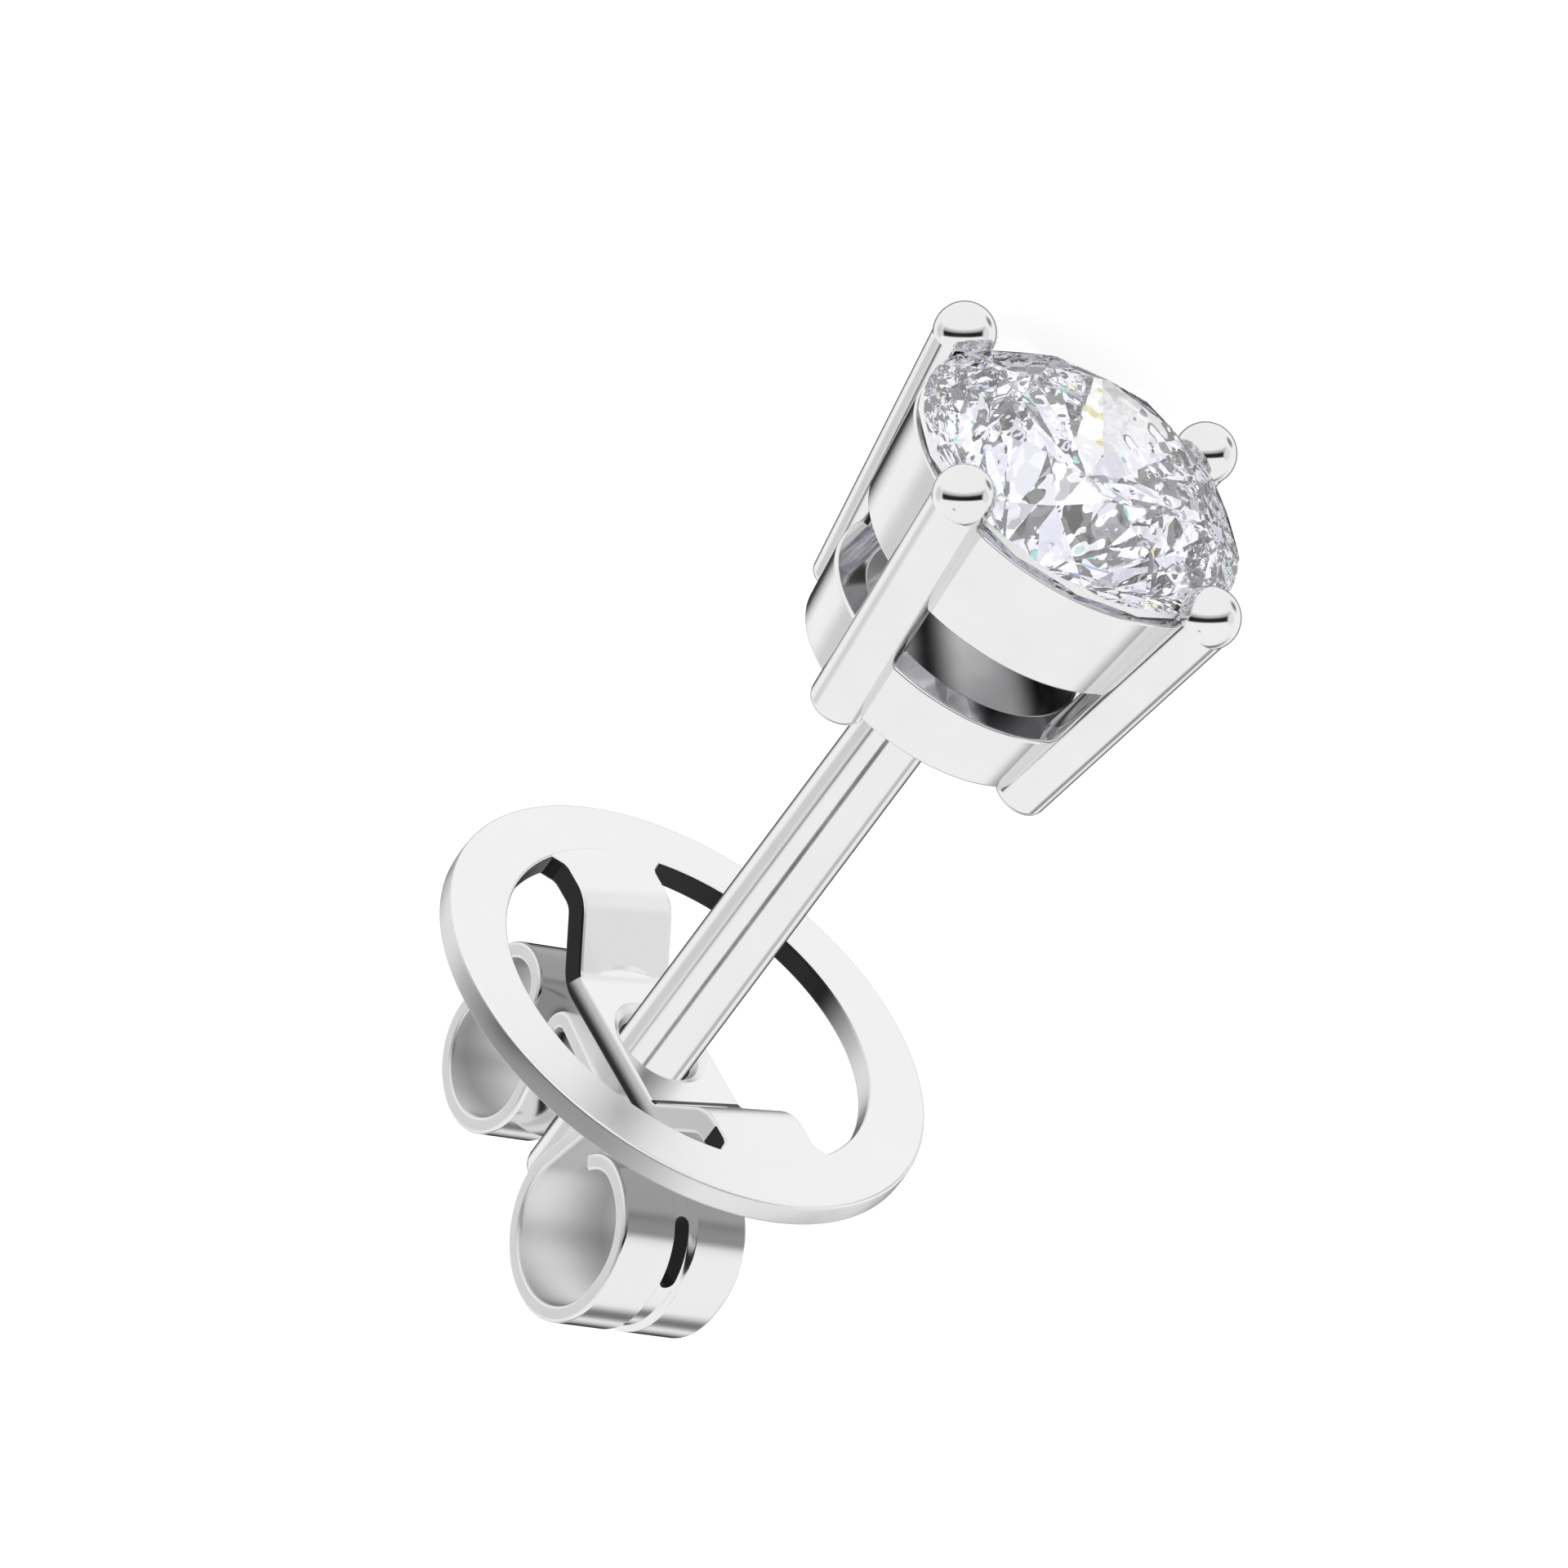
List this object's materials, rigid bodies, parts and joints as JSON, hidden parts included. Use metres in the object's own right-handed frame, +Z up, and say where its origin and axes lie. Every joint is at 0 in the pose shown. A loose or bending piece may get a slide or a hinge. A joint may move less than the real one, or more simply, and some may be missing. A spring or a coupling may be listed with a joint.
{
  "type": "diamond earring",
  "caption": "Diamond stud earring lying on its side: a round brilliant in a claw basket on a plain post, with a friction back of a flat disc and rolled scrolls.",
  "frame": {"origin": "middle of the footprint, on the surface that the earring lies on", "axes": "+X along the earring towards the stone, +Z up; the post dips 7.3 degrees towards the stone"},
  "size_m": [0.0128, 0.0062, 0.0063],
  "materials": {
    "white_gold": "mirror-polished white gold",
    "diamond": "cut and polished diamond",
    "white_gold_back": "polished pressed white gold sheet",
    "white_gold_scrolls": "polished rolled white gold strip"
  },
  "bodies": {
    "stud": {"setting": "white_gold", "diamond": "diamond"},
    "friction_back": {"back_disc": "white_gold_back", "butterfly_scrolls": "white_gold_scrolls"}
  },
  "joints": [
    {"name": "back_slide", "type": "slide", "parent": "stud", "child": "friction_back", "axis": [0.9918, 0, -0.1275], "range_m": [-0.0045, 0.005]}
  ]
}
